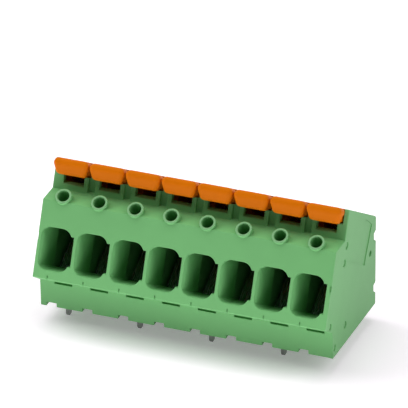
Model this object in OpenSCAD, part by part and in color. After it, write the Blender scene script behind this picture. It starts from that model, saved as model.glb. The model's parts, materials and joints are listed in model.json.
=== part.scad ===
// Board terminal block with one release lever per pole.
// Pole housings, each open on its right side, stand in a row and a flat cover closes the last one.
// Lengths are in millimetres: x runs along the row, y from front to back, z up from the board.

/* [Row] */
// Number of poles in the row
poles = 8; // [2:1:8]
// Distance from one pole to the next
pitch = 7.5; // [7.3:0.1:8.5]
// Thickness of the wall between two poles
wall_t = 1; // [0.8:0.1:1.1]
// Thickness of the cover that closes the last pole
cover_t = 0.9; // [0.7:0.1:1.2]

/* [Side profile] */
// Depth of the foot that stands on the board
foot_depth = 24.2; // [24:0.1:27]
// Height of the lower front wall
foot_wall_h = 5.9; // [5.5:0.1:6.2]
// How far the lower front wall leans forward at its top
foot_lean = 0.4; // [0.1:0.1:0.8]
// How far the lip juts out in front of the foot
lip_reach = 4.4; // [4.1:0.1:4.7]
// Height of the lip edge above the board
lip_h = 8.5; // [8.2:0.1:8.8]
// Set-back of the upper edge of the wire face from the front of the foot
face_top_y = 1.5; // [1.2:0.1:1.8]
// Height of the ledge that carries the test collars
ledge_h = 22.75; // [22.5:0.05:23.2]
// Depth of that ledge
ledge_depth = 5; // [4.8:0.1:5.4]
// Run of the steep wall behind the ledge
steep_run = 2.3; // [2:0.1:2.6]
// Height of the ridge above the board
ridge_h = 28.4; // [28.1:0.1:29]
// Height of the back wall
back_h = 19.2; // [18.8:0.1:19.8]

/* [Housing walls] */
// Thickness of the floor
floor_t = 1.3; // [1.1:0.1:1.6]
// Thickness of the lower front wall
foot_wall_t = 1.2; // [1:0.1:1.4]
// Thickness of the back wall
back_wall_t = 1.2; // [1:0.1:1.4]
// Thickness of the wall under the lever
post_t = 1.2; // [1:0.1:1.4]
// Thickness of the roof behind the lever
roof_t = 1.2; // [1:0.1:1.5]
// Length of the roof strip behind the lever
roof_len = 4.3; // [3.6:0.1:4.4]
// Width of the two grooves across the back
groove_w = 2.5; // [2:0.1:3]
// Depth of those grooves
groove_depth = 1.1; // [0.8:0.1:1.2]
// Height of the lower groove above the board
groove_low_h = 2.3; // [2:0.1:3]
// Height of the upper groove above the board
groove_high_h = 13.8; // [13.6:0.1:14.2]

/* [Wire entry] */
// Height of a wire opening along the wire face
entry_h = 8.5; // [8:0.1:8.8]
// How far the middle of the opening lies below the middle of the wire face
entry_drop = 1.7; // [1.55:0.05:1.9]
// Corner radius of the opening
entry_r = 2; // [1.5:0.1:2.4]
// Depth of the funnel behind the opening
entry_depth = 7.2; // [6.8:0.1:7.4]
// How far the left edge of the opening flares into the wall
entry_flare = 0.4; // [0.2:0.05:0.5]
// Depth of that flare
entry_lead = 0.9; // [0.6:0.1:1.2]
// How far the left wall of the funnel closes in on the wire
funnel_taper = 0.8; // [0.4:0.1:1]
// Height of the clearance slot at the right of the opening
entry_slot_h = 5.9; // [5:0.1:6.2]
// Rim left at the right of the opening, above and below the slot
entry_rim = 0.55; // [0.4:0.05:0.7]

/* [Test hole] */
// Distance of the test hole to the left of its pole's middle
test_shift = 0.2; // [0:0.05:0.3]
// Radius of the test hole
test_r = 1.2; // [1:0.05:1.25]
// Outer radius of the collar round it
collar_r = 1.65; // [1.5:0.05:1.8]
// Tilt of the hole towards the front
test_tilt = 33; // [30:1:35]
// Set-back of the collar's ring from the upper edge of the wire face
collar_back = 0.8; // [0.7:0.1:1]
// Height of the ring's centre above the ledge
collar_rise = 0.95; // [0.8:0.05:1.1]

/* [Lever] */
// Width of the lever's head
head_w = 7.22; // [6.9:0.02:7.26]
// How far the head reaches in front of the ridge
head_reach = 3.95; // [3.5:0.05:4.2]
// Height of the head's front
head_h = 3.2; // [3:0.1:3.4]
// How far the foot of the head's front falls back
head_lean = 1.7; // [1.5:0.1:1.9]
// Radius of the rounded edges of the head
head_r = 1; // [0.8:0.05:1.2]
// Thickness of the lever's arm
arm_t = 2.6; // [2.3:0.1:2.8]
// Distance from the ridge back to the lever's axle, along the slope
axle_back = 9.3; // [9.2:0.1:9.6]
// Depth of the axle below the slope
axle_deep = 7; // [6.8:0.1:7.2]
// Radius of the axle
axle_r = 1.5; // [1.2:0.1:1.7]
// Radius of the lever's hub
hub_r = 4.6; // [4.2:0.1:4.7]
// Thickness of each cheek beside the wire
cheek_t = 1.2; // [1:0.05:1.3]
// Reach of the cam noses from the axle
nose_reach = 9.8; // [9.4:0.1:9.9]
// Swing of the lever from shut to open
lever_swing = 60; // [50:1:60]

/* [Clamp and current bar] */
// Thickness of the current bar
bar_t = 0.8; // [0.6:0.1:1]
// Width of the current bar
bar_w = 3; // [2.6:0.1:3.2]
// Width of a solder pin
pin_w = 1; // [0.8:0.1:1.2]
// Length of a solder pin below the board face
pin_len = 3.5; // [2.8:0.1:4.5]
// Set-back of the front row of pins from the front of the foot
pin_front_y = 4.2; // [4:0.1:4.4]
// Distance between the two rows of pins
pin_row_gap = 10; // [9:0.1:10.4]
// Thickness of the clamp spring
spring_t = 0.5; // [0.4:0.05:0.6]
// Width of the clamp spring
spring_w = 5.4; // [5:0.1:5.6]
// Radius of the boss that the spring bends round
boss_r = 1.1; // [0.9:0.1:1.2]
// Set-back of that boss from the front of the foot
boss_y = 6.9; // [6.7:0.1:7.2]

/* [Fits] */
// Radius of the pegs that hold the poles together
peg_r = 0.6; // [0.5:0.05:0.65]
// Length of those pegs
peg_len = 0.7; // [0.5:0.05:0.8]
// Radial clearance of a peg in its hole and of the lever on its axle
round_gap = 0.05; // [0.03:0.01:0.08]
// Clearance of moving and loose pieces
gap = 0.25; // [0.2:0.05:0.3]

/* [Hidden] */
$fn = 64;

// Colours of the moulded and metal pieces
housing_green = "#6eb072";
lever_orange = "#ee8420";
spring_steel = "#b9bcc0";
tinned_copper = "#c9c6bd";

// Overlap given to cuts and joined solids, steps in a bend and sides of a dome
fuse = 0.5;
bend_steps = 8;
dome_fn = 28;

// Places across one pole, measured from the pole's middle
left_x = -(pitch + cover_t) / 2;
right_x = left_x + pitch;
inner_x = left_x + wall_t;

// Corners of the side profile
face_top = [face_top_y, ledge_h];
ledge_back = [face_top_y + ledge_depth, ledge_h];
ridge = [ledge_back.x + steep_run, ridge_h];
inner_back_y = foot_depth - back_wall_t;

// The wire face, and the way a wire goes in
face_angle = atan((face_top_y + lip_reach) / (ledge_h - lip_h));
face_len = norm(face_top - [-lip_reach, lip_h]);
face_up = [sin(face_angle), cos(face_angle)];
wire_in = [cos(face_angle), -sin(face_angle)];
function on_face(depth, drop) = face_top + depth * wire_in - drop * face_up;
entry_middle = face_len / 2 + entry_drop;
entry_bottom = entry_middle + entry_h / 2;

// The top slope, and the lever's axle below it
slope = atan((ridge_h - back_h) / (foot_depth - ridge.x));
slope_back = [cos(slope), -sin(slope)];
slope_in = [-sin(slope), -cos(slope)];
function on_slope(back, deep) = ridge + back * slope_back + deep * slope_in;
axle = on_slope(axle_back, axle_deep);
roof_back = axle_back + roof_len;

// Lever shapes, measured from the axle with the arm lying along the slope
wing_r = norm([axle_back, axle_deep]) + gap;
arm_w = 2 * (right_x - gap - wall_t + cover_t);
cheek_in_x = arm_w / 2 - cheek_t;
flush_end = -axle_deep * tan(lever_swing / 2);
head_front = -axle_back - head_reach;
head_bow = 0.2;
head_draft = 0.35;
heel_gap = 0.6;
heel_len = 2;
heel_slant = 0.4;
arm_start = 0.5;
arm_gusset = 4;
nose_tip_r = 1;
nose_root = 3;
nose_turn = -5;
under_head = axle_deep - head_h;
under_arm = axle_deep - arm_t;
arm_gap = 0.3;
post_drop = arm_t + arm_gap;
window_w = 4.1;
window_x = -2;
sill_h = 1.1;
recess_depth = 0.85;
recess_side = 0.2;

// Corners of the hollow behind the front wall
cavity_rise = 1.4;
post_lead = 0.1;
roof_lead = 0.3;
test_len = 11.5;

// Small marks on the front
dash_w = 3.7;
dash_h = 0.7;
dash_drop = 0.42;
dash_x = -1.15;
dash_depth = 1.1;
tick_w = 0.25;
tick_h = 0.9;
tick_x = -1.25;
tick_rise = -0.15;
notch_x = -2.96;
notch_w = 2.04;
notch_h = 0.85;
edge_nick = 0.6;
edge_nick_drop = 7.3;
groove_chamfer = 0.5;

// Clamp and bar
boss_z = floor_t + bar_t + spring_t + boss_r + gap;
loop = [boss_y, boss_z];
loop_r = boss_r + gap + spring_t / 2;
bar_z = floor_t + bar_t / 2;
bar_bend_r = 1.1;
web_back = 5;
web_y = foot_depth - web_back;
tongue_start = 1.4;
tongue_depth = entry_depth + tongue_start;
axle_drop = (face_top - axle) * face_up;
axle_room = 2.98;
tongue_drop = axle_drop + axle_r + axle_room;
tip_depth = 18;
tip_gap = 0.1;
spring_tip = on_face(tip_depth, tongue_drop + bar_t / 2 + tip_gap + spring_t / 2);
spring_end_y = web_y - bar_t / 2 - bar_bend_r - gap;
pin_tip = 0.4;
pin_tip_w = 0.7;
pin_slot_gap = 0.1;
pin_bend_r = bar_t / 2 + pin_slot_gap;
function pin_y(k) = pin_front_y + (k % 2 == 1 ? 0 : pin_row_gap);

// Pegs, and a round mark of the same size at the rear of the cover
peg_inset = 0.9;
peg_root = 1.5;
peg_rise = 0.8;
peg_drop = 2.7;
peg_lip_back = 2.9;
peg_lip_drop = 0.8;
peg_foot = 0.3;
peg_sites = [
    on_face(entry_depth - peg_inset, -peg_rise),
    on_face(entry_depth - peg_inset, peg_drop),
    [peg_lip_back - lip_reach, lip_h - peg_lip_drop],
    [foot_wall_t - peg_foot, floor_t + peg_r],
    loop
];
mark_back = 3.4;
mark_under = 1.2;
rear_mark = [foot_depth - mark_back, groove_high_h - mark_under];
mark_depth = 0.4;

// Shallow arched panel on the cover, measured along and below the slope
panel_depth = 0.15;
panel_back = 5;
panel_len = 11;
panel_foot = 9.9;
panel_crown_back = 11.5;
panel_crown = 1.2;
panel_arch_r = 18;

// Unit vector, and the same vector turned a quarter to the left
function unit(v) = v / norm(v);
function left_of(v) = [-v.y, v.x];
function turned(v, a) = [v.x * cos(a) - v.y * sin(a), v.x * sin(a) + v.y * cos(a)];

// Turn of a path at b, and the start and centre of the arc that rounds the corner there
function turn_at(a, b, c) =
    let (d1 = unit(b - a), d2 = unit(c - b)) atan2(d1.x * d2.y - d1.y * d2.x, d1 * d2);
function arc_start(a, b, c, r) = b - unit(b - a) * r * tan(abs(turn_at(a, b, c)) / 2);
function arc_centre(a, b, c, r) = arc_start(a, b, c, r) + left_of(unit(b - a)) * sign(turn_at(a, b, c)) * r;

// Points of the arc that rounds the corner at b
function corner_arc(a, b, c, r) =
    let (
        turn = turn_at(a, b, c),
        start = arc_start(a, b, c, r),
        centre = arc_centre(a, b, c, r)
    )
    [for (i = [0:bend_steps]) centre + turned(start - centre, turn * i / bend_steps)];

// An open path with its corners rounded, each to its own radius
function rounded_path(p, radii) = concat(
    [p[0]],
    [for (i = [1:len(p) - 2]) each corner_arc(p[i - 1], p[i], p[i + 1], radii[i - 1])],
    [p[len(p) - 1]]
);

// Outline of a strip of thickness t that follows a path
function path_dir(p, i) = unit(p[min(i + 1, len(p) - 1)] - p[max(i - 1, 0)]);
function strip(p, t) = concat(
    [for (i = [0:len(p) - 1]) p[i] + left_of(path_dir(p, i)) * t / 2],
    [for (i = [len(p) - 1:-1:0]) p[i] - left_of(path_dir(p, i)) * t / 2]
);

// Shifts the model so that its origin is the middle of the foot
module in_frame() {
    translate([0, -foot_depth / 2, 0]) children();
}

// Puts a piece at the middle of pole k
module at_pole(k) {
    translate([(k - (poles + 1) / 2) * pitch, 0, 0]) children();
}

// Extrudes a side profile along the row
module across(x0, x1) {
    translate([x0, 0, 0]) rotate([90, 0, 90]) linear_extrude(x1 - x0) children();
}

// Round bar along the row at a point of the side profile
module rod(p, r, x0, x1) {
    translate([x0, p.x, p.y]) rotate([0, 90, 0]) cylinder(r = r, h = x1 - x0);
}

// Frame of the wire face: y goes in, z goes up from the face's upper edge
module at_face() {
    translate([0, face_top.x, face_top.y]) rotate([-face_angle, 0, 0]) children();
}

// Side profile frame of the slope, and of the lever on its axle
module at_slope() {
    translate(ridge) rotate(-slope) children();
}
module at_axle() {
    translate(axle) rotate(-slope) children();
}

// Frame of the lever: y runs back along the slope, z away from the axle
module at_lever() {
    translate([0, axle.x, axle.y]) rotate([-slope, 0, 0]) children();
}

// Groove across the back; skin gives the same shape grown by a wall
module back_groove(h, skin = 0) {
    floor_y = foot_depth - groove_depth - skin;
    polygon([
        [foot_depth + fuse, h - skin],
        [floor_y, h - skin + groove_chamfer],
        [floor_y, h + groove_w + skin - groove_chamfer],
        [foot_depth + fuse, h + groove_w + skin]
    ]);
}

// Outer side profile, the same for housing and cover
module body_outline() {
    difference() {
        polygon([
            [0, 0],
            [-foot_lean, foot_wall_h],
            [-lip_reach, lip_h],
            face_top,
            ledge_back,
            ridge,
            [foot_depth, back_h],
            [foot_depth, 0]
        ]);
        back_groove(groove_low_h);
        back_groove(groove_high_h);
    }
}

// Hollow behind the funnel
module cavity_outline() {
    funnel_floor = entry_bottom + wall_t;
    floor_rise = on_face(entry_depth, funnel_floor).y;
    roof_front = post_t + roof_lead;
    roof_end = (inner_back_y - ridge.x - roof_t * slope_in.x) / slope_back.x;
    difference() {
        polygon([
            [foot_wall_t, floor_t],
            [foot_wall_t, floor_rise],
            on_face(entry_depth, funnel_floor),
            on_face(entry_depth, -cavity_rise),
            ledge_back + [post_t + post_lead, 0],
            on_slope(roof_front, roof_t),
            on_slope(roof_end, roof_t),
            [inner_back_y, floor_t]
        ]);
        back_groove(groove_low_h, back_wall_t);
        back_groove(groove_high_h, back_wall_t);
    }
}

// Room above the posts in which the lever lies and swings
module lever_pocket() {
    above = ridge_h - back_h;
    at_slope() translate([-above, -post_drop]) square([above + roof_back, post_drop + above]);
}

// Rounded opening whose left edge flares, with a left wall that closes in on the wire
module entry_cut() {
    mouth_x = inner_x - entry_flare;
    mouth_w = right_x - entry_rim - mouth_x;
    full = entry_depth + 2 * fuse;
    at_face() translate([0, -fuse, -entry_middle]) {
        intersection() {
            translate([mouth_x, 0, 0]) rotate([-90, 0, 0]) linear_extrude(full) {
                translate([entry_r, -entry_h / 2]) square([mouth_w - 2 * entry_r, entry_h]);
                translate([0, entry_r - entry_h / 2]) square([mouth_w, entry_h - 2 * entry_r]);
                for (x = [entry_r, mouth_w - entry_r])
                    for (z = [-1, 1])
                        translate([x, z * (entry_h / 2 - entry_r)]) circle(r = entry_r);
            }
            translate([0, 0, -entry_h]) linear_extrude(2 * entry_h) polygon([
                [mouth_x, -fuse],
                [mouth_x, fuse],
                [inner_x, fuse + entry_lead],
                [inner_x + funnel_taper, full + fuse],
                [right_x, full + fuse],
                [right_x, -fuse]
            ]);
        }
        translate([right_x - entry_r, 0, -entry_slot_h / 2])
            cube([entry_r + fuse, full, entry_slot_h]);
    }
}

// Frame of a test hole: z points out of the ring
module at_test() {
    translate([-test_shift, face_top_y + collar_back, ledge_h + collar_rise])
        rotate([test_tilt, 0, 0]) children();
}

// Recess in front of the wall between two poles
module partition_recess() {
    top = ridge + [recess_depth, 0];
    rise = [steep_run, ridge_h - ledge_h];
    polygon([
        ledge_back - [fuse, 0],
        ledge_back + [recess_depth, 0],
        top + rise / 2,
        ridge + rise / 2 - [2 * fuse, 0]
    ]);
}

// Slots, ticks and notches that repeat on the front of every pole
module front_marks() {
    translate([dash_x, -foot_lean - fuse, foot_wall_h - dash_drop]) cube([dash_w, dash_depth + fuse, dash_h]);
    translate([notch_x, -fuse, -fuse]) cube([notch_w, foot_wall_t + 2 * fuse, notch_h + fuse]);
    at_face() translate([tick_x, -fuse, tick_rise - face_len])
        cube([tick_w, fuse + tick_w, tick_h]);
}

// Small nick in the front edge of the row's two ends
module end_nick(x) {
    at_face() translate([x, -fuse, -edge_nick_drop - edge_nick])
        cube([edge_nick, fuse + edge_nick / 2, 2 * edge_nick]);
}

// Housing of one pole; its left wall also closes the pole before it
module housing_shape(first, last) {
    difference() {
        union() {
            across(left_x, right_x) body_outline();
            at_test() translate([0, 0, -2 * collar_r]) cylinder(r = collar_r, h = 2 * collar_r);
        }
        across(inner_x, right_x + fuse) cavity_outline();
        across(inner_x, right_x + fuse) lever_pocket();
        rod(axle, hub_r + gap, inner_x, right_x + fuse);
        translate([window_x, ledge_back.x - fuse, ledge_h + sill_h])
            cube([window_w, steep_run + post_t + fuse, ridge_h - ledge_h - sill_h]);
        if (!first) across(left_x - fuse, inner_x + recess_side) partition_recess();
        if (!last) across(right_x - recess_side, right_x + fuse) partition_recess();
        if (first) end_nick(left_x - fuse / 2);
        entry_cut();
        at_test() translate([0, 0, -test_len]) cylinder(r = test_r, h = test_len + fuse);
        front_marks();
        for (y = [pin_front_y, pin_front_y + pin_row_gap])
            translate([-pin_w / 2 - pin_slot_gap, y - bar_t / 2 - pin_slot_gap, -fuse])
                cube([pin_w + 2 * pin_slot_gap, bar_t + 2 * pin_slot_gap, floor_t + 2 * fuse]);
        for (p = peg_sites) rod(p, peg_r + round_gap, left_x - fuse, left_x + peg_len + round_gap);
    }
    rod(axle, axle_r, inner_x - wall_t / 2, right_x - gap);
    rod(loop, boss_r, inner_x - wall_t / 4, right_x);
    for (p = peg_sites) rod(p, peg_r, right_x - peg_root, right_x + peg_len);
}

module pole_housing(k) {
    color(housing_green) in_frame() at_pole(k) housing_shape(k == 1, k == poles);
}

// Flat cover with holes for the pegs of the last pole
module end_cover() {
    color(housing_green) in_frame() at_pole(poles) difference() {
        across(right_x, right_x + cover_t) body_outline();
        for (p = peg_sites) rod(p, peg_r + round_gap, right_x - fuse, right_x + cover_t + fuse);
        rod(rear_mark, peg_r + round_gap, right_x + cover_t - mark_depth, right_x + cover_t + fuse);
        across(right_x + cover_t - panel_depth, right_x + cover_t + fuse) at_slope() intersection() {
            translate([panel_back, -panel_foot]) square([panel_len, panel_foot]);
            translate([panel_crown_back, -panel_crown - panel_arch_r]) circle(r = panel_arch_r, $fn = 200);
        }
        end_nick(right_x + cover_t - edge_nick / 2);
    }
}

// Room of the head in side profile, with a heel that clears the housing; its front lies free
module head_outline() {
    heel = -axle_back - heel_gap;
    polygon([
        [heel + heel_len, axle_deep + fuse],
        [head_front - fuse, axle_deep + fuse],
        [head_front - fuse, under_head - fuse],
        [heel, under_head - fuse],
        [heel, under_head],
        [heel + heel_slant, under_arm],
        [heel + heel_len, under_arm]
    ]);
}

// Half a ball that points to one side
module dome(side) {
    rotate([0, side * 90, 0]) rotate_extrude($fn = dome_fn) intersection() {
        circle(r = head_r, $fn = dome_fn);
        square(head_r);
    }
}

// Body of the head: bowed front, edges rounded all round, sides that close in towards the foot
module head_body() {
    brow = [head_front, axle_deep];
    foot = [head_front + head_lean, under_head];
    belly = (brow + foot) / 2 + head_bow * left_of(unit(brow - foot));
    front = [[0, axle_deep], brow, belly, foot, [0, under_head]];
    centres = [for (i = [1:3]) arc_centre(front[i - 1], front[i], front[i + 1], head_r)];
    taper = head_draft / (centres[0].y - centres[2].y);
    at_lever() hull()
        for (c = concat(centres, [[0, centres[0].y], [0, centres[2].y]]))
            for (side = [-1, 1])
                translate([side * (head_w / 2 - head_r - taper * (centres[0].y - c.y)), c.x, c.y]) dome(side);
}

// Side profile of the arm and hub
module arm_outline() {
    down = acos(hub_r / norm([flush_end, axle_deep]));
    tangent = atan2(axle_deep, flush_end) - down;
    polygon([
        [arm_start - axle_back, axle_deep],
        [flush_end, axle_deep],
        hub_r * [cos(tangent), sin(tangent)],
        [0, 0],
        [-hub_r, 0],
        [arm_gusset - axle_back, under_arm],
        [arm_start - axle_back, under_arm]
    ]);
    circle(r = hub_r);
}

// Side profile of a cam nose
module nose_outline() {
    centre = nose_reach - nose_tip_r;
    rotate(nose_turn) {
        polygon([[0, nose_root], [centre, nose_tip_r], [centre, -nose_tip_r], [0, -nose_root]]);
        translate([centre, 0]) circle(r = nose_tip_r);
    }
}

// Space between the cheeks, below the arm and inside the hub's skin
module between_cheeks() {
    skin_r = hub_r - cheek_t;
    circle(r = skin_r);
    translate([-axle_back, -hub_r - fuse]) square([axle_back, hub_r + fuse + under_arm]);
    rotate(20) translate([-hub_r, -2 * hub_r]) square([4 * hub_r, 2 * hub_r]);
}

module lever(k) {
    color(lever_orange) in_frame() at_pole(k) difference() {
        union() {
            intersection() {
                union() {
                    across(-arm_w / 2, arm_w / 2) at_axle() head_outline();
                    across(-head_w / 2, head_w / 2) at_axle() difference() {
                        head_outline();
                        circle(r = wing_r, $fn = 200);
                    }
                }
                head_body();
            }
            across(-arm_w / 2, arm_w / 2) at_axle() arm_outline();
            across(-arm_w / 2, arm_w / 2) at_axle() nose_outline();
        }
        across(-cheek_in_x, cheek_in_x) at_axle() between_cheeks();
        rod(axle, axle_r + round_gap, -pitch, pitch);
    }
}

// Leaf spring: base on the bar, one bend round the boss, and a leg up to the tongue
module clamp_spring(k) {
    reach = spring_tip - loop;
    leave = atan2(reach.y, reach.x) + acos(loop_r / norm(reach));
    bend = [for (i = [0:2 * bend_steps])
        let (a = 270 + (leave - 270) * i / (2 * bend_steps)) loop + loop_r * [cos(a), sin(a)]];
    path = concat([[spring_end_y, boss_z - loop_r]], bend, [spring_tip]);
    color(spring_steel) in_frame() at_pole(k)
        across(-spring_w / 2, spring_w / 2) polygon(strip(path, spring_t));
}

// Bent strip: tongue above the wire, web behind it, floor run and solder pin
module current_bar(k) {
    tongue_end = on_face(tongue_depth, tongue_drop);
    web_top = tongue_end + wire_in * (web_y - tongue_end.x) / wire_in.x;
    path = [tongue_end, web_top, [web_y, bar_z], [pin_y(k), bar_z], [pin_y(k), -pin_len]];
    bends = [bar_bend_r, bar_bend_r, pin_bend_r];
    color(tinned_copper) in_frame() at_pole(k) intersection() {
        across(-bar_w, bar_w) polygon(strip(rounded_path(path, bends), bar_t));
        translate([0, foot_depth, 0]) rotate([90, 0, 0]) linear_extrude(foot_depth) polygon([
            [-bar_w / 2, ridge_h],
            [-bar_w / 2, floor_t],
            [-pin_w / 2, floor_t],
            [-pin_w / 2, pin_tip - pin_len],
            [-pin_tip_w / 2, -pin_len],
            [pin_tip_w / 2, -pin_len],
            [pin_w / 2, pin_tip - pin_len],
            [pin_w / 2, floor_t],
            [bar_w / 2, floor_t],
            [bar_w / 2, ridge_h]
        ]);
    }
}

for (k = [1:poles]) {
    pole_housing(k);
    lever(k);
    clamp_spring(k);
    current_bar(k);
}
end_cover();
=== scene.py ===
import json
import math

import bmesh
import bpy
from bpy.props import FloatProperty, FloatVectorProperty, PointerProperty
from bpy.types import NodeSocket, Operator, Panel, PropertyGroup
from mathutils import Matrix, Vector
from mathutils.geometry import intersect_line_line_2d, intersect_point_line


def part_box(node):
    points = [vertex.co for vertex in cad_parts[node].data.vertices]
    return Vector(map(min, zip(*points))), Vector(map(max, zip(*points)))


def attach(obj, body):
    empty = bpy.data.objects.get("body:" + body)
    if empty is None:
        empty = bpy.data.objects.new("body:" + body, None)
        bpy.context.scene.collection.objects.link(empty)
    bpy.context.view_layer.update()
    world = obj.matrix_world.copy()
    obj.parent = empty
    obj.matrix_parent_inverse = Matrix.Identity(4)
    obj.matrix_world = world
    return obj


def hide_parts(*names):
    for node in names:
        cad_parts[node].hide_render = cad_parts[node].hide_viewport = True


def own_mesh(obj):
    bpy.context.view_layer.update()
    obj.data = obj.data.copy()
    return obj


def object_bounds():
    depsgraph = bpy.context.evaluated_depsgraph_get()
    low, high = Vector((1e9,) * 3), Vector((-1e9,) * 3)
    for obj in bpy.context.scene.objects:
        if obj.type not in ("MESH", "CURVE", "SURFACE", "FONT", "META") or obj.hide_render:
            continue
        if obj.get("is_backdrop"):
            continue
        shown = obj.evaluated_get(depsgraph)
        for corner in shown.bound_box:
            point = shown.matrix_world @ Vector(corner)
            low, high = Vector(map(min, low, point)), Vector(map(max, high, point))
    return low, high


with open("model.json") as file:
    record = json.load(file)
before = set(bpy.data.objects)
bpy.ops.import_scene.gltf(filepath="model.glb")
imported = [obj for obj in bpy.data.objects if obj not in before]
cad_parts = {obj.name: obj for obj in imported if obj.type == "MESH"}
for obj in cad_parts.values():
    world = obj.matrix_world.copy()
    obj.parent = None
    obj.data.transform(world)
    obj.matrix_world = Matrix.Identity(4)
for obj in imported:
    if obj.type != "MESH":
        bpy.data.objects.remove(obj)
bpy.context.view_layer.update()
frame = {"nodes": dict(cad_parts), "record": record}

bl_info = {
    "name": "Board terminal block",
    "version": (1, 0, 0),
    "blender": (4, 5, 0),
    "location": "3D View > Sidebar > Terminal block",
    "description": "Dresses a row of lever clamps and sets it on a white studio floor",
    "category": "Object",
}

# The frame, read from model.glb and model.json
MM = 0.001
HOUSINGS = sorted(n for n in frame["nodes"] if n.startswith("pole_housing"))
LEVERS = sorted(n for n in frame["nodes"] if n.startswith("lever"))
SPRINGS = sorted(n for n in frame["nodes"] if n.startswith("clamp_spring"))
BARS = sorted(n for n in frame["nodes"] if n.startswith("current_bar"))
COVER = "end_cover"
SEAMS = [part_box(n)[0].x for n in HOUSINGS[1:] + [COVER]]
TEST_HOLES = [m for m in frame["record"]["mounts"] if m["name"].startswith("test_hole")]
TEST_AXIS = Vector(TEST_HOLES[0]["axis"])
TEST_BORE = TEST_HOLES[0]["dims"]["r_mm"] * MM

# Corners nearer to each other than this are one corner
MERGE = 0.001 * MM
# Triangles that meet at less than this angle are parts of one flat face
FLAT = math.radians(0.5)
# Edges where the faces turn by less than this angle aren't rounded
CORNER = math.radians(25)
# Edges where the faces turn by at least this angle are shaded sharp
SHARP = math.radians(32)
# Steps across each rounding
ROUND_STEPS = 2
# Depth of face that a rounding needs on each side of its edge, in radii
ROOM = 2.5
# Twice the area that a folded triangle may have before it shows, in square metres
FOLD = 0.004 * MM * MM
# How near to a fold an edge is left sharp, in radii
FOLD_REACH = 2
# How near to the plane of a joint an edge lies to belong to it
SEAM_REACH = 0.01 * MM
# Where the line that measures a face starts, just inside its edge
JUST_INSIDE = 0.0001 * MM
# Cosine above which a face counts as square to the axis of the test holes
SQUARE_ON = 0.999
# How far the wire face's normal leans forward and up, at least
WIRE_FACE_FORWARD = 0.9
WIRE_FACE_UP = 0.3

# Wall of the collar round a test hole, and the steps round its rim and round the rim's bead
COLLAR_WALL = 0.45 * MM
RING_STEPS = 64
BEAD_STEPS = 16

# Roughness and gleam of each moulded surface, where the gleam is the specular level
HOUSING_SATIN = {"roughness": 0.45, "gleam": 0.12}
LEVER_SATIN = {"roughness": 0.5, "gleam": 0.06}
# The rims' painted sheen: a much stronger gleam than the housing's, under which they show pale
RIM_SHEEN = {"roughness": 0.3, "gleam": 0.9}
# The rims' colour as a share of the housing's, darkened so that their painted sheen makes them paler but no
# brighter
RIM_SHADE = 0.82
POLYAMIDE_IOR = 1.53

# Widths of the patterns in the finishes, in millimetres
STREAK_WIDTH = 5
PIT_WIDTH = 0.2
BLOTCH_WIDTH = 0.8
ROLLED_LINE_WIDTH = 0.1
# Share of its fineness that the rolled pattern keeps along its lines
ROLLED_STRETCH = 0.03
# The stretch of a noise's values that is spread over a range of roughness
NOISE_LOW = 0.3
NOISE_HIGH = 0.7

# Places of the soft boxes, from the middle of the object, and their side, in metres
OVERHEAD_PLACE = (-0.05, 0.1, 0.8)
LEFT_PLACE = (-0.55, -0.08, 0.6)
RIGHT_PLACE = (0.6, 0.05, 0.52)
SOFT_BOX_SIDE = 0.6
# The patch of floor in front that lights the object from below, in metres
BOUNCE_WIDTH = 0.5
BOUNCE_DEPTH = 0.082
BOUNCE_ASIDE = 0.12
BOUNCE_AHEAD = 0.049
BOUNCE_LIFT = 0.1 * MM
UP = Vector((0, 0, 1))
WHITE = (1, 1, 1, 1)
# Width of a full-frame sensor in millimetres, and the camera's range in distances to its target
SENSOR_WIDTH = 36
NEAREST = 0.01
FARTHEST = 10

# Sockets of the colour Mix node
MIX_FACTOR, MIX_A, MIX_B, MIX_RESULT = 0, 6, 7, 2


def linear(code):
    """Turns an sRGB hex colour into linear RGBA."""
    channels = [int(code[i:i + 2], 16) / 255 for i in (0, 2, 4)]
    return tuple(c / 12.92 if c <= 0.04045 else ((c + 0.055) / 1.055) ** 2.4 for c in channels) + (1.0,)


def shaded(colour, share):
    """The same colour, darker or lighter by a share of its light."""
    return tuple(min(c * share, 1.0) for c in colour[:3]) + (1.0,)


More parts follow.
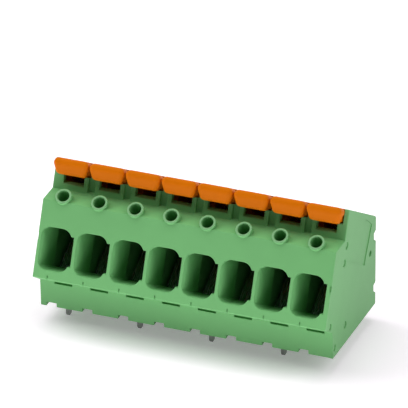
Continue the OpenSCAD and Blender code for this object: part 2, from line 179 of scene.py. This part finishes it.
class TerminalFinish(PropertyGroup):
    """Sizes and colours of the visible surfaces."""

    housing_colour: FloatVectorProperty(
        name="Housing", description="Colour of the moulded housings and the end cover",
        subtype="COLOR", size=4, min=0, max=1, default=linear("6EAD6E"),
    )
    lever_colour: FloatVectorProperty(
        name="Lever", description="Colour of the moulded release levers",
        subtype="COLOR", size=4, min=0, max=1, default=linear("D06D06"),
    )
    tin_colour: FloatVectorProperty(
        name="Tin", description="Colour of the tin plate on the current bars and solder pins",
        subtype="COLOR", size=4, min=0, max=1, default=linear("868A86"),
    )
    steel_colour: FloatVectorProperty(
        name="Steel", description="Colour of the rolled clamp springs",
        subtype="COLOR", size=4, min=0, max=1, default=linear("B9BCC0"),
    )
    housing_edge: FloatProperty(
        name="Housing edge radius", description="Rounding of the housings' outer edges",
        subtype="DISTANCE", unit="LENGTH", min=0, default=0.12 * MM, precision=5,
    )
    mouth_edge: FloatProperty(
        name="Mouth edge radius", description="Rounding of the edges of the wire face and its openings",
        subtype="DISTANCE", unit="LENGTH", min=0, default=0.22 * MM, precision=5,
    )
    cover_edge: FloatProperty(
        name="Cover edge radius", description="Rounding of the end cover's outer edges",
        subtype="DISTANCE", unit="LENGTH", min=0, default=0.28 * MM, precision=5,
    )
    lever_edge: FloatProperty(
        name="Lever edge radius", description="Rounding of the levers' sharp edges",
        subtype="DISTANCE", unit="LENGTH", min=0, default=0.12 * MM, precision=5,
    )
    metal_edge: FloatProperty(
        name="Metal edge radius", description="Rounding that stamping leaves on the metal strips",
        subtype="DISTANCE", unit="LENGTH", min=0, default=0.06 * MM, precision=5,
    )
    rim_crown: FloatProperty(
        name="Rim crown", description="Height of the rounded rim on each test collar",
        subtype="DISTANCE", unit="LENGTH", min=0, default=0.08 * MM, precision=5,
    )
    spring_keep: FloatProperty(
        name="Spring height when open",
        description="Share of its height that a clamp spring keeps under an open lever",
        subtype="FACTOR", min=0.1, max=1, default=0.78,
    )


class TerminalStage(PropertyGroup):
    """Floor, light and camera."""

    floor_colour: FloatVectorProperty(
        name="Floor", description="Colour of the studio floor",
        subtype="COLOR", size=4, min=0, max=1, default=linear("FAF0FA"),
    )
    floor_size: FloatProperty(
        name="Floor size", description="Side of the square floor",
        subtype="DISTANCE", unit="LENGTH", min=0.1, default=3.0,
    )
    floor_glow: FloatProperty(
        name="Floor glow", description="Light that lifts the lit floor to white where the camera sees it",
        min=0, max=1, default=0.27,
    )
    sky_strength: FloatProperty(
        name="Room light", description="Strength of the even light from all around",
        min=0, default=0.06,
    )
    top_power: FloatProperty(
        name="Overhead light", description="Power of the soft box above and behind the object",
        unit="POWER", min=0, default=3.1,
    )
    left_power: FloatProperty(
        name="Left light", description="Power of the soft box high on the left",
        unit="POWER", min=0, default=4.0,
    )
    right_power: FloatProperty(
        name="Right light", description="Power of the soft box on the right",
        unit="POWER", min=0, default=2.8,
    )
    bounce_power: FloatProperty(
        name="Bounce light", description="Power of the light that the bright floor in front throws back up",
        unit="POWER", min=0, default=0.226,
    )
    azimuth: FloatProperty(
        name="Azimuth", description="Camera's angle round the object from the front",
        subtype="ANGLE", default=math.radians(20.92),
    )
    elevation: FloatProperty(
        name="Elevation", description="Camera's angle above the floor",
        subtype="ANGLE", default=math.radians(28.4),
    )
    distance: FloatProperty(
        name="Distance", description="Distance from the camera to what it looks at",
        subtype="DISTANCE", unit="LENGTH", min=0.1, default=2.0,
    )
    span: FloatProperty(
        name="Frame width", description="Width of the picture at the object",
        subtype="DISTANCE", unit="LENGTH", min=0.01, default=79.41 * MM, precision=5,
    )
    target: FloatVectorProperty(
        name="Target", description="Point in the middle of the picture",
        subtype="TRANSLATION", unit="LENGTH", size=3, default=(-0.91 * MM, 0.0, 21.94 * MM), precision=5,
    )


def add_node(tree, kind, settings=None, inputs=None):
    """Adds one node, sets its options and fills its inputs with values or links."""
    made = tree.nodes.new(kind)
    for name, value in (settings or {}).items():
        setattr(made, name, value)
    for key, value in (inputs or {}).items():
        if isinstance(value, NodeSocket):
            tree.links.new(value, made.inputs[key])
        else:
            made.inputs[key].default_value = value
    return made


def empty_material(name):
    """A material with no nodes in it yet."""
    material = bpy.data.materials.new(name)
    material.use_nodes = True
    material.node_tree.nodes.clear()
    return material, material.node_tree


def pattern_scale(size_mm):
    """Scale of a noise whose blotches are about this many millimetres wide."""
    return 1 / (size_mm * MM)


def moulded_polyamide(name, colour, roughness, gleam):
    """Polyamide from a spark-eroded mould: a satin skin whose fine pits break up the gloss."""
    material, tree = empty_material(name)
    place = add_node(tree, "ShaderNodeTexCoord").outputs["Object"]
    # Pigment streaks of some millimetres, hardly lighter or darker than the rest
    streaks = add_node(tree, "ShaderNodeTexNoise", inputs={
        "Vector": place, "Scale": pattern_scale(STREAK_WIDTH), "Detail": 2, "Roughness": 0.5,
    }).outputs["Fac"]
    tint = add_node(tree, "ShaderNodeMix", {"data_type": "RGBA"}, {
        MIX_FACTOR: streaks, MIX_A: shaded(colour, 0.95), MIX_B: shaded(colour, 1.05),
    }).outputs[MIX_RESULT]
    # Real pits are about 0.05 mm wide, and are drawn four times as wide so that they show
    pits = add_node(tree, "ShaderNodeTexNoise", inputs={
        "Vector": place, "Scale": pattern_scale(PIT_WIDTH), "Detail": 3, "Roughness": 0.6,
    }).outputs["Fac"]
    gloss = add_node(tree, "ShaderNodeMapRange", inputs={
        "Value": pits, "From Min": NOISE_LOW, "From Max": NOISE_HIGH,
        "To Min": roughness - 0.05, "To Max": roughness + 0.05,
    }).outputs["Result"]
    relief = add_node(tree, "ShaderNodeBump", inputs={
        "Height": pits, "Strength": 0.12, "Distance": 0.02 * MM,
    }).outputs["Normal"]
    skin = add_node(tree, "ShaderNodeBsdfPrincipled", inputs={
        "Base Color": tint, "Roughness": gloss, "IOR": POLYAMIDE_IOR,
        "Specular IOR Level": gleam, "Normal": relief,
    })
    add_node(tree, "ShaderNodeOutputMaterial", inputs={"Surface": skin.outputs["BSDF"]})
    return material


def tin_plated_copper(colour):
    """Copper strip with a dull tin plate: grey metal, its soft reflections blotched by the plating bath."""
    material, tree = empty_material("tin_plated_copper")
    place = add_node(tree, "ShaderNodeTexCoord").outputs["Object"]
    blotches = add_node(tree, "ShaderNodeTexNoise", inputs={
        "Vector": place, "Scale": pattern_scale(BLOTCH_WIDTH), "Detail": 3, "Roughness": 0.6,
    }).outputs["Fac"]
    tint = add_node(tree, "ShaderNodeMix", {"data_type": "RGBA"}, {
        MIX_FACTOR: blotches, MIX_A: shaded(colour, 0.85), MIX_B: shaded(colour, 1.1),
    }).outputs[MIX_RESULT]
    gloss = add_node(tree, "ShaderNodeMapRange", inputs={
        "Value": blotches, "From Min": NOISE_LOW, "From Max": NOISE_HIGH, "To Min": 0.28, "To Max": 0.42,
    }).outputs["Result"]
    relief = add_node(tree, "ShaderNodeBump", inputs={
        "Height": blotches, "Strength": 0.1, "Distance": 0.01 * MM,
    }).outputs["Normal"]
    plate = add_node(tree, "ShaderNodeBsdfPrincipled", inputs={
        "Base Color": tint, "Metallic": 1.0, "Roughness": gloss, "Normal": relief,
    })
    add_node(tree, "ShaderNodeOutputMaterial", inputs={"Surface": plate.outputs["BSDF"]})
    return material


def rolled_spring_steel(colour):
    """Cold-rolled stainless strip: bright metal with fine lines along the way it was rolled."""
    material, tree = empty_material("rolled_spring_steel")
    place = add_node(tree, "ShaderNodeTexCoord").outputs["Object"]
    # Lines lie across the row's axis, close together and many times as long as they are wide
    drawn = add_node(tree, "ShaderNodeMapping", inputs={
        "Vector": place, "Scale": (1.0, ROLLED_STRETCH, ROLLED_STRETCH),
    })
    lines = add_node(tree, "ShaderNodeTexNoise", inputs={
        "Vector": drawn.outputs["Vector"], "Scale": pattern_scale(ROLLED_LINE_WIDTH),
        "Detail": 2, "Roughness": 0.5,
    }).outputs["Fac"]
    gloss = add_node(tree, "ShaderNodeMapRange", inputs={
        "Value": lines, "From Min": NOISE_LOW, "From Max": NOISE_HIGH, "To Min": 0.18, "To Max": 0.32,
    }).outputs["Result"]
    relief = add_node(tree, "ShaderNodeBump", inputs={
        "Height": lines, "Strength": 0.1, "Distance": 0.005 * MM,
    }).outputs["Normal"]
    strip = add_node(tree, "ShaderNodeBsdfPrincipled", inputs={
        "Base Color": tuple(colour), "Metallic": 1.0, "Roughness": gloss, "Normal": relief,
    })
    add_node(tree, "ShaderNodeOutputMaterial", inputs={"Surface": strip.outputs["BSDF"]})
    return material


def seen_by_eye(tree):
    """1 for rays from the camera, from gloss and through glass, which all see a white room."""
    path = add_node(tree, "ShaderNodeLightPath")
    gloss = add_node(tree, "ShaderNodeMath", {"operation": "MAXIMUM"}, {
        0: path.outputs["Is Camera Ray"], 1: path.outputs["Is Glossy Ray"],
    })
    return add_node(tree, "ShaderNodeMath", {"operation": "MAXIMUM"}, {
        0: gloss.outputs[0], 1: path.outputs["Is Transmission Ray"],
    }).outputs[0]


def painted_floor(colour, glow):
    """Matt white paint that takes the shadow, lifted to white where it is seen."""
    material, tree = empty_material("matt_white_paint")
    paint = add_node(tree, "ShaderNodeBsdfDiffuse", inputs={"Color": tuple(colour)})
    lift = add_node(tree, "ShaderNodeEmission", inputs={"Strength": glow})
    lit = add_node(tree, "ShaderNodeAddShader", inputs={0: paint.outputs[0], 1: lift.outputs[0]})
    mixed = add_node(tree, "ShaderNodeMixShader", inputs={
        0: seen_by_eye(tree), 1: paint.outputs[0], 2: lit.outputs[0],
    })
    add_node(tree, "ShaderNodeOutputMaterial", inputs={"Surface": mixed.outputs[0]})
    return material


def room_beside(edge, face):
    """How far a face reaches from the middle of one of its edges, measured across that edge."""
    start, end = (v.co for v in edge.verts)
    along = (end - start).normalized()
    into = face.normal.cross(along)
    middle = (start + end) / 2
    if (face.calc_center_median() - middle).dot(into) < 0:
        into = -into
    # A line across the face that ends well past its far side
    far = max((v.co - middle).length for v in face.verts) * 2
    line = (Vector((0.0, JUST_INSIDE)), Vector((0.0, far)))
    nearest = far
    for other in face.edges:
        if other is edge:
            continue
        ends = [Vector(((v.co - middle).dot(along), (v.co - middle).dot(into))) for v in other.verts]
        crossing = intersect_line_line_2d(*line, *ends)
        if crossing and crossing.y > 0:
            nearest = min(nearest, crossing.y)
    return nearest


def on_seam(edge):
    """True for an edge in the joint between two mouldings, which lie flush there."""
    return any(all(abs(v.co.x - x) < SEAM_REACH for v in edge.verts) for x in SEAMS)


def on_collar(edge):
    """True for an edge of the collar round a test hole, which gets a rim of its own."""
    return any(f.normal.dot(TEST_AXIS) > SQUARE_ON for f in edge.link_faces)


def on_wire_face(edge):
    """True for an edge of the slanted face that holds the wire openings."""
    return any(
        f.normal.y < -WIRE_FACE_FORWARD and f.normal.z > WIRE_FACE_UP for f in edge.link_faces
    )


def takes_rounding(edge, radius):
    """True for an outer corner with room for the rounding on both sides."""
    if len(edge.link_faces) != 2 or not edge.is_convex or on_seam(edge) or on_collar(edge):
        return False
    if edge.calc_face_angle() < CORNER:
        return False
    return all(room_beside(edge, face) > ROOM * radius for face in edge.link_faces)


def folds(skin):
    """Corners of the triangles that lie upside down in their face."""
    places = []
    for loops in skin.calc_loop_triangles():
        a, b, c = (loop.vert.co for loop in loops)
        if (b - a).cross(c - a).dot(loops[0].face.normal) < -FOLD:
            places += [a.copy(), b.copy(), c.copy()]
    return places


def passes_near(edge, places, reach):
    """True for an edge that comes nearer than reach to one of the places."""
    start, end = (v.co for v in edge.verts)
    for place in places:
        share = intersect_point_line(place, start, end)[1]
        if (start.lerp(end, min(max(share, 0.0), 1.0)) - place).length < reach:
            return True
    return False


def round_edges(skin, edges, radius, strong):
    """The skin with some edges rounded, less those where two roundings run into each other.

    strong names the faces that keep their flat shading. The skin that is passed in is freed.
    """
    skin.edges.index_update()
    skin.edges.ensure_lookup_table()
    chosen = [e.index for e in edges]
    while True:
        trial = skin.copy()
        trial.edges.ensure_lookup_table()
        bmesh.ops.bevel(
            trial, geom=[trial.edges[i] for i in chosen], offset=radius, offset_type="OFFSET",
            segments=ROUND_STEPS, profile=0.5, affect="EDGES", clamp_overlap=False,
            miter_outer="ARC", face_strength_mode=strong,
        )
        trial.normal_update()
        places = folds(trial)
        kept = [i for i in chosen if not passes_near(skin.edges[i], places, FOLD_REACH * radius)]
        if len(kept) == len(chosen):
            skin.free()
            return trial
        trial.free()
        chosen = kept


def closed_skin(mesh):
    """A loose mesh as one closed skin, with every flat face whole."""
    skin = bmesh.new()
    skin.from_mesh(mesh)
    bmesh.ops.remove_doubles(skin, verts=skin.verts, dist=MERGE)
    bmesh.ops.dissolve_limit(skin, angle_limit=FLAT, verts=skin.verts, edges=skin.edges)
    skin.normal_update()
    return skin


def rounded_copy(node, name, radius, material, wide=None):
    """A copy of a CAD node as one closed skin, with its outer edges rounded.

    wide gives a larger radius and a test for the edges that get it.
    """
    mesh = frame["nodes"][node].data.copy()
    mesh.name = name
    # Normals kept from the loose triangles don't fit the rounded skin
    if "custom_normal" in mesh.attributes:
        mesh.attributes.remove(mesh.attributes["custom_normal"])
    skin = closed_skin(mesh)
    strong = "ALL"
    if wide:
        wide_radius, takes_wide = wide
        edges = [e for e in skin.edges if takes_wide(e) and takes_rounding(e, wide_radius)]
        skin = round_edges(skin, edges, wide_radius, strong)
        strong = "AFFECTED"
    edges = [e for e in skin.edges if takes_rounding(e, radius)]
    skin = round_edges(skin, edges, radius, strong)
    bmesh.ops.dissolve_degenerate(skin, dist=MERGE, edges=skin.edges)
    skin.normal_update()
    for face in skin.faces:
        face.smooth = True
    for edge in skin.edges:
        edge.smooth = edge.calc_face_angle(math.pi) < SHARP
    skin.to_mesh(mesh)
    skin.free()
    mesh.materials.clear()
    mesh.materials.append(material)
    piece = bpy.data.objects.new(name, mesh)
    bpy.context.scene.collection.objects.link(piece)
    flat = piece.modifiers.new("Flat faces", "WEIGHTED_NORMAL")
    flat.keep_sharp = True
    flat.use_face_influence = True
    return piece


class TERMINAL_OT_dress_housings(Operator):
    """Copies each housing and the end cover with rounded edges, in moulded green polyamide"""

    bl_idname = "terminal.dress_housings"
    bl_label = "Dress housings"

    def execute(self, context):
        finish = context.scene.terminal_finish
        material = moulded_polyamide("moulded_polyamide_green", finish.housing_colour, **HOUSING_SATIN)
        mouth = (finish.mouth_edge, on_wire_face)
        pieces = []
        for node in HOUSINGS:
            name = node.replace("pole_", "") + "_moulding"
            pieces.append(rounded_copy(node, name, finish.housing_edge, material, mouth))
        pieces.append(rounded_copy(COVER, COVER + "_moulding", finish.cover_edge, material))
        for piece, node in zip(pieces, HOUSINGS + [COVER]):
            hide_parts(node)
            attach(piece, "housing")
        return {"FINISHED"}


class TERMINAL_OT_dress_levers(Operator):
    """Copies each lever with rounded edges, in moulded orange polyamide"""

    bl_idname = "terminal.dress_levers"
    bl_label = "Dress levers"

    def execute(self, context):
        finish = context.scene.terminal_finish
        material = moulded_polyamide("moulded_polyamide_orange", finish.lever_colour, **LEVER_SATIN)
        for node in LEVERS:
            piece = rounded_copy(node, node + "_moulding", finish.lever_edge, material)
            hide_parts(node)
            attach(piece, node)
        return {"FINISHED"}


class TERMINAL_OT_dress_metal(Operator):
    """Copies the current bars in tin plate and the clamp springs in rolled steel, with rounded edges"""

    bl_idname = "terminal.dress_metal"
    bl_label = "Dress metal"

    def execute(self, context):
        finish = context.scene.terminal_finish
        tin = tin_plated_copper(finish.tin_colour)
        steel = rolled_spring_steel(finish.steel_colour)
        for node in BARS:
            piece = rounded_copy(node, node + "_strip", finish.metal_edge, tin)
            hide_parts(node)
            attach(piece, "housing")
        for node in SPRINGS:
            piece = rounded_copy(node, node + "_leaf", finish.metal_edge, steel)
            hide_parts(node)
            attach(piece, "housing")
            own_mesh(piece)
        return {"FINISHED"}


def rim_tree(material):
    """Geometry nodes for a row of tilted rims, each an oval bead bent to a ring."""
    tree = bpy.data.node_groups.new("test_hole_rims", "GeometryNodeTree")
    inputs = {}
    for name, kind in (
        ("Count", "NodeSocketInt"),
        ("Pitch", "NodeSocketVector"),
        ("First", "NodeSocketVector"),
        ("Tilt", "NodeSocketVector"),
        ("Ring radius", "NodeSocketFloat"),
        ("Bead radius", "NodeSocketFloat"),
        ("Bead shape", "NodeSocketVector"),
    ):
        inputs[name] = tree.interface.new_socket(name, in_out="INPUT", socket_type=kind).identifier
    tree.interface.new_socket("Geometry", in_out="OUTPUT", socket_type="NodeSocketGeometry")
    given = add_node(tree, "NodeGroupInput").outputs
    ring = add_node(tree, "GeometryNodeCurvePrimitiveCircle", inputs={
        "Resolution": RING_STEPS, "Radius": given["Ring radius"],
    })
    bead = add_node(tree, "GeometryNodeCurvePrimitiveCircle", inputs={
        "Resolution": BEAD_STEPS, "Radius": given["Bead radius"],
    })
    oval = add_node(tree, "GeometryNodeTransform", inputs={
        "Geometry": bead.outputs["Curve"], "Scale": given["Bead shape"],
    })
    rim = add_node(tree, "GeometryNodeCurveToMesh", inputs={
        "Curve": ring.outputs["Curve"], "Profile Curve": oval.outputs["Geometry"],
    })
    smooth = add_node(tree, "GeometryNodeSetShadeSmooth", inputs={"Geometry": rim.outputs["Mesh"]})
    row = add_node(tree, "GeometryNodeMeshLine", inputs={
        "Count": given["Count"], "Start Location": given["First"], "Offset": given["Pitch"],
    })
    placed = add_node(tree, "GeometryNodeInstanceOnPoints", inputs={
        "Points": row.outputs["Mesh"], "Instance": smooth.outputs["Geometry"], "Rotation": given["Tilt"],
    })
    real = add_node(tree, "GeometryNodeRealizeInstances", inputs={"Geometry": placed.outputs["Instances"]})
    painted = add_node(tree, "GeometryNodeSetMaterial", inputs={
        "Geometry": real.outputs["Geometry"], "Material": material,
    })
    add_node(tree, "NodeGroupOutput", inputs={"Geometry": painted.outputs["Geometry"]})
    return tree, inputs


class TERMINAL_OT_test_rims(Operator):
    """Lays a rounded rim with a painted sheen on the collar of every test hole"""

    bl_idname = "terminal.test_rims"
    bl_label = "Test hole rims"

    def execute(self, context):
        finish = context.scene.terminal_finish
        # Painted sheen: the rims get a darker green and a strong gleam, so that they show as pale rings
        colour = shaded(finish.housing_colour, RIM_SHADE)
        material = moulded_polyamide("polished_polyamide_green", colour, **RIM_SHEEN)
        mouths = [
            Vector(m["pos_m"]) + Vector(m["axis"]) * m["dims"]["length_mm"] * MM / 2 for m in TEST_HOLES
        ]
        tree, inputs = rim_tree(material)
        piece = bpy.data.objects.new("test_hole_rims", bpy.data.meshes.new("test_hole_rims"))
        context.scene.collection.objects.link(piece)
        modifier = piece.modifiers.new("Rims", "NODES")
        modifier.node_group = tree
        modifier[inputs["Count"]] = len(mouths)
        modifier[inputs["Pitch"]] = mouths[1] - mouths[0]
        modifier[inputs["First"]] = mouths[0]
        modifier[inputs["Tilt"]] = (math.atan2(-TEST_AXIS.y, TEST_AXIS.z), 0.0, 0.0)
        modifier[inputs["Ring radius"]] = TEST_BORE + COLLAR_WALL / 2
        modifier[inputs["Bead radius"]] = COLLAR_WALL / 2
        modifier[inputs["Bead shape"]] = (1.0, 2 * finish.rim_crown / COLLAR_WALL, 1.0)
        seen = piece.evaluated_get(context.evaluated_depsgraph_get())
        mesh = bpy.data.meshes.new_from_object(seen)
        piece.modifiers.remove(modifier)
        piece.data = mesh
        if not mesh.polygons:
            raise RuntimeError("the rims came out empty")
        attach(piece, "housing")
        return {"FINISHED"}


def soft_box(name, place, target, power, width, depth):
    """A flat area light that looks at a point."""
    lamp = bpy.data.lights.new(name, "AREA")
    lamp.shape = "RECTANGLE"
    lamp.size = width
    lamp.size_y = depth
    lamp.energy = power
    holder = bpy.data.objects.new(name, lamp)
    holder.location = place
    holder.rotation_mode = "QUATERNION"
    holder.rotation_quaternion = (target - place).to_track_quat("-Z", "Y")
    holder.visible_camera = False
    holder.visible_glossy = False
    bpy.context.scene.collection.objects.link(holder)


class TERMINAL_OT_set_stage(Operator):
    """Lays the floor, lights the object softly and sets the camera"""

    bl_idname = "terminal.set_stage"
    bl_label = "Set stage"

    def execute(self, context):
        stage = context.scene.terminal_stage
        low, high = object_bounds()
        self.lay_floor(context, stage, low.z)
        self.light_room(context, stage)
        self.hang_lights(stage, low, (low + high) / 2)
        self.set_camera(context, stage)
        context.scene.view_settings.view_transform = "Standard"
        return {"FINISHED"}

    def lay_floor(self, context, stage, height):
        """A square of floor just under the pins."""
        half = stage.floor_size / 2
        mesh = bpy.data.meshes.new("studio_floor")
        corners = [(x, y, height) for x, y in ((-half, -half), (half, -half), (half, half), (-half, half))]
        mesh.from_pydata(corners, [], [(0, 1, 2, 3)])
        mesh.materials.append(painted_floor(stage.floor_colour, stage.floor_glow))
        floor = bpy.data.objects.new("studio_floor", mesh)
        context.scene.collection.objects.link(floor)
        floor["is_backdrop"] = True

    def light_room(self, context, stage):
        """Even light from all around, which the eye sees as white."""
        world = bpy.data.worlds.new("studio_room")
        context.scene.world = world
        world.use_nodes = True
        tree = world.node_tree
        tree.nodes.clear()
        room = add_node(tree, "ShaderNodeBackground", inputs={
            "Color": WHITE, "Strength": stage.sky_strength,
        })
        white = add_node(tree, "ShaderNodeBackground", inputs={"Color": WHITE, "Strength": 1.0})
        mixed = add_node(tree, "ShaderNodeMixShader", inputs={
            0: seen_by_eye(tree), 1: room.outputs[0], 2: white.outputs[0],
        })
        add_node(tree, "ShaderNodeOutputWorld", inputs={"Surface": mixed.outputs[0]})

    def hang_lights(self, stage, low, middle):
        """Three soft boxes round the object, and the glow of the bright floor in front of it."""
        for name, place, power in (
            ("overhead_soft_box", OVERHEAD_PLACE, stage.top_power),
            ("left_soft_box", LEFT_PLACE, stage.left_power),
            ("right_soft_box", RIGHT_PLACE, stage.right_power),
        ):
            soft_box(name, middle + Vector(place), middle, power, SOFT_BOX_SIDE, SOFT_BOX_SIDE)
        on_floor = Vector((middle.x + BOUNCE_ASIDE, low.y - BOUNCE_AHEAD, low.z + BOUNCE_LIFT))
        soft_box("floor_bounce", on_floor, on_floor + UP, stage.bounce_power, BOUNCE_WIDTH, BOUNCE_DEPTH)

    def set_camera(self, context, stage):
        """A long lens at the picture's angle."""
        around, up = stage.azimuth, stage.elevation
        back = Vector((math.sin(around) * math.cos(up), -math.cos(around) * math.cos(up), math.sin(up)))
        data = bpy.data.cameras.new("studio_camera")
        data.sensor_width = SENSOR_WIDTH
        data.lens = data.sensor_width * stage.distance / stage.span
        data.clip_start = stage.distance * NEAREST
        data.clip_end = stage.distance * FARTHEST
        camera = bpy.data.objects.new("studio_camera", data)
        camera.location = Vector(stage.target) + back * stage.distance
        camera.rotation_mode = "QUATERNION"
        camera.rotation_quaternion = (-back).to_track_quat("-Z", "Y")
        context.scene.collection.objects.link(camera)
        context.scene.camera = camera


class TERMINAL_PT_panel(Panel):
    """Settings and steps of the terminal block"""

    bl_idname = "TERMINAL_PT_panel"
    bl_label = "Terminal block"
    bl_space_type = "VIEW_3D"
    bl_region_type = "UI"
    bl_category = "Terminal block"

    def draw(self, context):
        for group in (context.scene.terminal_finish, context.scene.terminal_stage):
            box = self.layout.box()
            for name in group.bl_rna.properties.keys():
                if name not in ("rna_type", "name"):
                    box.prop(group, name)
        for step in STEPS:
            self.layout.operator(step.bl_idname)


STEPS = (
    TERMINAL_OT_dress_housings,
    TERMINAL_OT_dress_levers,
    TERMINAL_OT_dress_metal,
    TERMINAL_OT_test_rims,
    TERMINAL_OT_set_stage,
)
CLASSES = (TerminalFinish, TerminalStage) + STEPS + (TERMINAL_PT_panel,)


def register():
    """Registers the classes and hangs the settings on the scene."""
    for cls in CLASSES:
        bpy.utils.register_class(cls)
    bpy.types.Scene.terminal_finish = PointerProperty(type=TerminalFinish)
    bpy.types.Scene.terminal_stage = PointerProperty(type=TerminalStage)


def unregister():
    """Takes the settings off the scene and unregisters the classes."""
    del bpy.types.Scene.terminal_stage
    del bpy.types.Scene.terminal_finish
    for cls in reversed(CLASSES):
        bpy.utils.unregister_class(cls)


def main():
    """Runs the steps in order."""
    register()
    bpy.ops.terminal.dress_housings()
    bpy.ops.terminal.dress_levers()
    bpy.ops.terminal.dress_metal()
    bpy.ops.terminal.test_rims()
    bpy.ops.terminal.set_stage()


if __name__ == "__main__":
    main()
